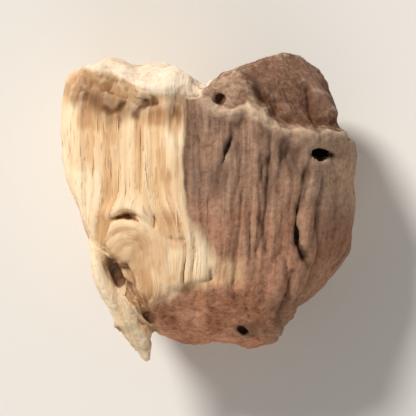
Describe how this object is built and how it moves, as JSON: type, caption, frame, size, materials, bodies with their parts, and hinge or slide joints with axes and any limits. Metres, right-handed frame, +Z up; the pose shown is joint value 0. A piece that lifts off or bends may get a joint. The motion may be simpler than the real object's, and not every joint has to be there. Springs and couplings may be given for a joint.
{
  "type": "stone root chunk",
  "caption": "Chopped, dried chunk of stone root: a hard, knotty piece of rhizome with split wood, wrinkled bark, a broken end and a raised splinter.",
  "frame": {"origin": "on the flat chopped face that the chunk rests on, below the middle of the chunk", "axes": "+Z up from the face it rests on, +Y along the grain towards the broken end, +X towards the bark side"},
  "size_m": [0.0194, 0.0204, 0.0133],
  "materials": {
    "root_wood": "matt, dry, unfinished wood with bark"
  },
  "bodies": {
    "root": {"root_chunk": "root_wood"}
  },
  "joints": []
}
